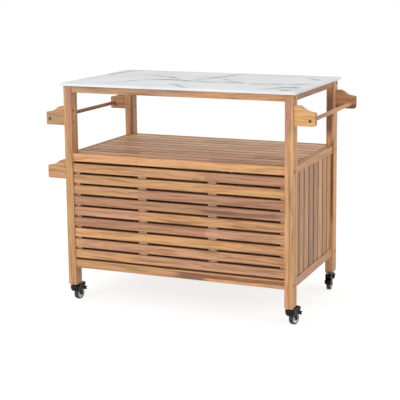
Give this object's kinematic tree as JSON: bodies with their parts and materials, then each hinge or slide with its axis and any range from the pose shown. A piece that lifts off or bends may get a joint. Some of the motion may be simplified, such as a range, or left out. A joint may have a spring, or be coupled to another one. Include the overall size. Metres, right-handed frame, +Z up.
{
  "type": "bar cart",
  "caption": "Rolling slatted wood bar cart with stone-look top, open shelf, cabinet with two doors, towel bar, bottle rack and braked swivel casters.",
  "frame": {"origin": "on the floor under the centre of the cart", "axes": "+X along the cart towards the towel bar, +Y to the door side, away from the pictured panel, +Z up"},
  "size_m": [1.132, 0.608, 0.9],
  "materials": {
    "acacia": "oiled acacia, satin",
    "acacia_dark": "oiled acacia heartwood, satin",
    "stone_slab": "stone-look laminate, white with grey veins",
    "steel": "zinc-plated",
    "black_plastic": "moulded nylon",
    "wheel_plastic": "grey tread on a light hub",
    "catch_plastic": "moulded"
  },
  "bodies": {
    "frame": {"post_front_left": "acacia", "post_front_right": "acacia", "post_rear_left": "acacia", "post_rear_right": "acacia", "top_rail_front": "acacia", "top_rail_rear": "acacia", "top_rail_left": "acacia", "top_rail_right": "acacia", "top_bearers": "acacia_dark", "tabletop": "stone_slab", "shelf_rail_front": "acacia", "shelf_rail_rear": "acacia", "shelf_rail_left": "acacia", "shelf_rail_right": "acacia", "shelf_bearers": "acacia_dark", "shelf_slats": "acacia", "bottom_rail_front": "acacia", "bottom_rail_rear": "acacia", "bottom_rail_left": "acacia", "bottom_rail_right": "acacia", "floor_bearers": "acacia_dark", "floor_slats": "acacia", "front_slats": "acacia", "front_battens": "acacia_dark", "side_slats_left": "acacia", "side_slats_right": "acacia", "hinge_frame_leaves": "steel", "magnet_catch": "catch_plastic", "handle_bracket_front": "acacia", "handle_bracket_rear": "acacia", "handle_bar": "acacia", "bottle_bracket_front": "acacia", "bottle_bracket_rear": "acacia", "bottle_bar": "acacia_dark", "rack_end_front": "acacia", "rack_end_rear": "acacia", "rack_slats": "acacia_dark", "frame_bolts": "steel", "screws": "steel", "caster_stems": "steel"},
    "door_left": {"door_left_slats": "acacia", "door_left_battens": "acacia_dark", "door_left_hardware": "steel", "door_left_knob": "acacia_dark"},
    "door_right": {"door_right_slats": "acacia", "door_right_battens": "acacia_dark", "door_right_hardware": "steel", "door_right_knob": "acacia_dark"},
    "caster_front_left": {"fork_front_left": "black_plastic"},
    "wheel_front_left": {"wheel_front_left": "wheel_plastic"},
    "brake_front_left": {"brake_front_left": "black_plastic"},
    "caster_front_right": {"fork_front_right": "black_plastic"},
    "wheel_front_right": {"wheel_front_right": "wheel_plastic"},
    "brake_front_right": {"brake_front_right": "black_plastic"},
    "caster_rear_left": {"fork_rear_left": "black_plastic"},
    "wheel_rear_left": {"wheel_rear_left": "wheel_plastic"},
    "brake_rear_left": {"brake_rear_left": "black_plastic"},
    "caster_rear_right": {"fork_rear_right": "black_plastic"},
    "wheel_rear_right": {"wheel_rear_right": "wheel_plastic"},
    "brake_rear_right": {"brake_rear_right": "black_plastic"}
  },
  "joints": [
    {"name": "door_left_hinge", "type": "hinge", "parent": "frame", "child": "door_left", "pos_m": [-0.4475, 0.2933, 0.38], "axis": [0, 0, 1], "range_deg": [0, 115]},
    {"name": "door_right_hinge", "type": "hinge", "parent": "frame", "child": "door_right", "pos_m": [0.4475, 0.2933, 0.38], "axis": [0, 0, -1], "range_deg": [0, 115]},
    {"name": "swivel_front_left", "type": "hinge", "parent": "frame", "child": "caster_front_left", "pos_m": [-0.466, -0.265, 0.06], "axis": [0, 0, 1], "continuous": true},
    {"name": "roll_front_left", "type": "hinge", "parent": "caster_front_left", "child": "wheel_front_left", "pos_m": [-0.46308, -0.24118, 0.025], "axis": [-0.9925, 0.1219, 0], "continuous": true},
    {"name": "brake_front_left", "type": "hinge", "parent": "caster_front_left", "child": "brake_front_left", "pos_m": [-0.46137, -0.22728, 0.05], "axis": [-0.9925, 0.1219, 0], "range_deg": [0, 12]},
    {"name": "swivel_front_right", "type": "hinge", "parent": "frame", "child": "caster_front_right", "pos_m": [0.466, -0.265, 0.06], "axis": [0, 0, 1], "continuous": true},
    {"name": "roll_front_right", "type": "hinge", "parent": "caster_front_right", "child": "wheel_front_right", "pos_m": [0.47262, -0.24193, 0.025], "axis": [-0.9613, 0.2756, 0], "continuous": true},
    {"name": "brake_front_right", "type": "hinge", "parent": "caster_front_right", "child": "brake_front_right", "pos_m": [0.47647, -0.22847, 0.05], "axis": [-0.9613, 0.2756, 0], "range_deg": [0, 12]},
    {"name": "swivel_rear_left", "type": "hinge", "parent": "frame", "child": "caster_rear_left", "pos_m": [-0.466, 0.265, 0.06], "axis": [0, 0, 1], "continuous": true},
    {"name": "roll_rear_left", "type": "hinge", "parent": "caster_rear_left", "child": "wheel_rear_left", "pos_m": [-0.454, 0.24421, 0.025], "axis": [0.866, 0.5, 0], "continuous": true},
    {"name": "brake_rear_left", "type": "hinge", "parent": "caster_rear_left", "child": "brake_rear_left", "pos_m": [-0.447, 0.23209, 0.05], "axis": [0.866, 0.5, 0], "range_deg": [0, 12]},
    {"name": "swivel_rear_right", "type": "hinge", "parent": "frame", "child": "caster_rear_right", "pos_m": [0.466, 0.265, 0.06], "axis": [0, 0, 1], "continuous": true},
    {"name": "roll_rear_right", "type": "hinge", "parent": "caster_rear_right", "child": "wheel_rear_right", "pos_m": [0.46851, 0.24113, 0.025], "axis": [0.9945, 0.1045, 0], "continuous": true},
    {"name": "brake_rear_right", "type": "hinge", "parent": "caster_rear_right", "child": "brake_rear_right", "pos_m": [0.46997, 0.22721, 0.05], "axis": [0.9945, 0.1045, 0], "range_deg": [0, 12]}
  ]
}
